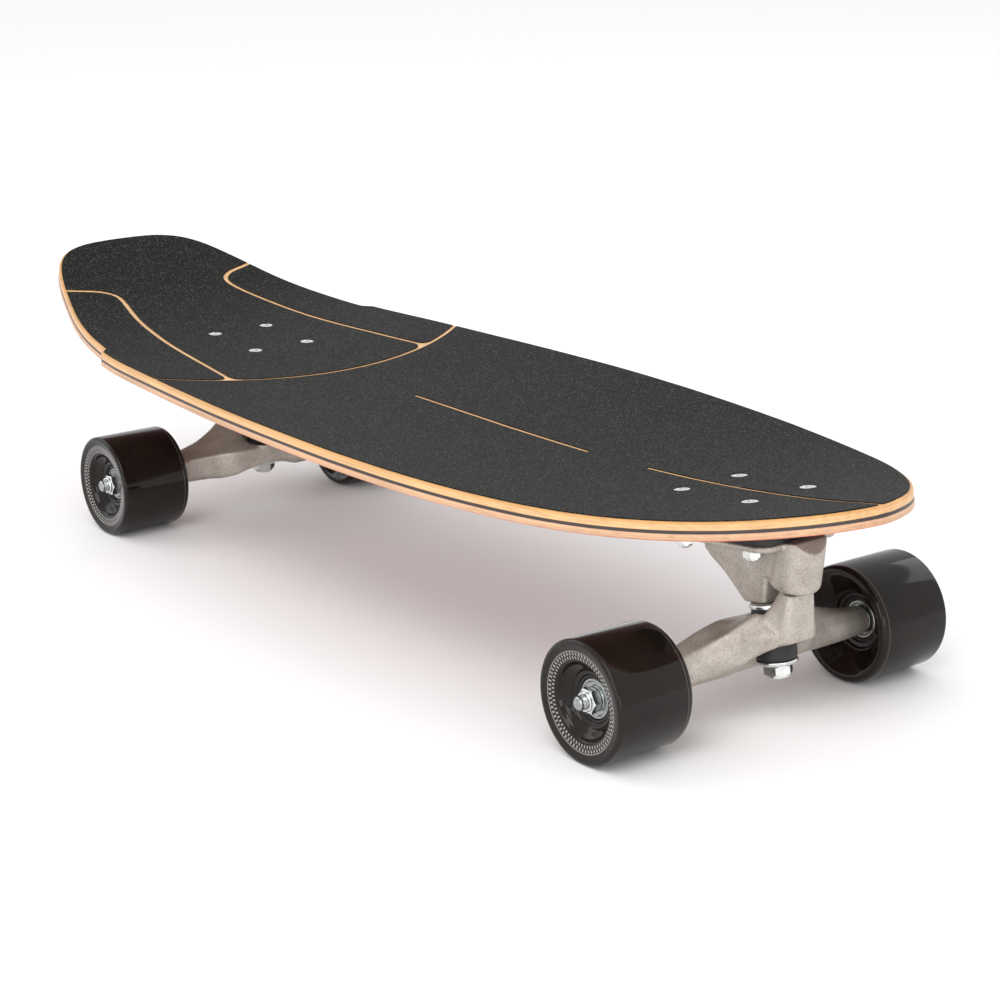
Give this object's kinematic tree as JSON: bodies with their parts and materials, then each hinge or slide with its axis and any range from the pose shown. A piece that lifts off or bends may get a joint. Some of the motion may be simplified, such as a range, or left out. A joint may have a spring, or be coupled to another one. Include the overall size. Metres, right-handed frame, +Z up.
{
  "type": "surf skateboard",
  "caption": "Street surf skateboard: laminated deck with kicked tail and panelled grip, steering trucks on rubber bushings, and wide urethane wheels that spin on bearings.",
  "frame": {"origin": "on the ground under the middle of the whole board", "axes": "+X to the nose, +Y to the side on the left of a rider who faces the nose, +Z up"},
  "size_m": [0.803, 0.2572, 0.166],
  "materials": {
    "grip": "coarse, matt",
    "upper_maple": "satin, clear coated",
    "dark_ply": "satin",
    "lower_maple": "satin, clear coated",
    "cast_aluminium": "as cast, tumbled",
    "zinc": "bright zinc plated",
    "urethane": "glossy, slightly translucent",
    "rubber": "matt",
    "bearing_steel": "polished",
    "nylon": "matt"
  },
  "bodies": {
    "board": {"deck_dark_ply": "dark_ply", "deck_lower_plies": "lower_maple", "deck_upper_plies": "upper_maple", "front_base_plate": "cast_aluminium", "front_kingpin": "zinc", "front_kingpin_nut": "zinc", "front_lower_bushing": "rubber", "front_lower_washer": "zinc", "front_pivot_cup": "nylon", "front_riser_pad": "rubber", "front_screw_inner_left": "zinc", "front_screw_inner_right": "zinc", "front_screw_outer_left": "zinc", "front_screw_outer_right": "zinc", "front_upper_bushing": "rubber", "front_upper_washer": "zinc", "grip_front": "grip", "grip_tail_centre": "grip", "grip_tail_left": "grip", "grip_tail_right": "grip", "rear_base_plate": "cast_aluminium", "rear_kingpin": "zinc", "rear_kingpin_nut": "zinc", "rear_lower_bushing": "rubber", "rear_lower_washer": "zinc", "rear_pivot_cup": "nylon", "rear_riser_pad": "rubber", "rear_screw_inner_left": "zinc", "rear_screw_inner_right": "zinc", "rear_screw_outer_left": "zinc", "rear_screw_outer_right": "zinc", "rear_upper_bushing": "rubber", "rear_upper_washer": "zinc"},
    "front_hanger": {"front_axle": "bearing_steel", "front_hanger": "cast_aluminium", "front_left_axle_nut": "zinc", "front_left_bearing_spacer": "bearing_steel", "front_right_axle_nut": "zinc", "front_right_bearing_spacer": "bearing_steel"},
    "rear_hanger": {"rear_axle": "bearing_steel", "rear_hanger": "cast_aluminium", "rear_left_axle_nut": "zinc", "rear_left_bearing_spacer": "bearing_steel", "rear_right_axle_nut": "zinc", "rear_right_bearing_spacer": "bearing_steel"},
    "front_left_wheel": {"front_left_inner_bearing": "bearing_steel", "front_left_outer_bearing": "bearing_steel", "front_left_wheel": "urethane"},
    "front_right_wheel": {"front_right_inner_bearing": "bearing_steel", "front_right_outer_bearing": "bearing_steel", "front_right_wheel": "urethane"},
    "rear_left_wheel": {"rear_left_inner_bearing": "bearing_steel", "rear_left_outer_bearing": "bearing_steel", "rear_left_wheel": "urethane"},
    "rear_right_wheel": {"rear_right_inner_bearing": "bearing_steel", "rear_right_outer_bearing": "bearing_steel", "rear_right_wheel": "urethane"}
  },
  "joints": [
    {"name": "front_steer", "type": "hinge", "parent": "board", "child": "front_hanger", "pos_m": [0.34058, 0, 0.09438], "axis": [0.3562, 0, 0.9344], "range_deg": [-22, 22], "stiffness_Nm_per_rad": 45, "deforming": ["front_upper_bushing", "front_lower_bushing"]},
    {"name": "front_left_spin", "type": "hinge", "parent": "front_hanger", "child": "front_left_wheel", "pos_m": [0.30461, 0.09325, 0.03381], "axis": [0, 1, 0], "continuous": true},
    {"name": "front_right_spin", "type": "hinge", "parent": "front_hanger", "child": "front_right_wheel", "pos_m": [0.30461, -0.09325, 0.03381], "axis": [0, 1, 0], "continuous": true},
    {"name": "rear_steer", "type": "hinge", "parent": "board", "child": "rear_hanger", "pos_m": [-0.23676, 0, 0.08571], "axis": [-0.6763, 0, 0.7366], "range_deg": [-14, 14], "stiffness_Nm_per_rad": 45, "deforming": ["rear_upper_bushing", "rear_lower_bushing"]},
    {"name": "rear_left_spin", "type": "hinge", "parent": "rear_hanger", "child": "rear_left_wheel", "pos_m": [-0.21743, 0.09325, 0.03381], "axis": [0, 1, 0], "continuous": true},
    {"name": "rear_right_spin", "type": "hinge", "parent": "rear_hanger", "child": "rear_right_wheel", "pos_m": [-0.21743, -0.09325, 0.03381], "axis": [0, 1, 0], "continuous": true}
  ]
}
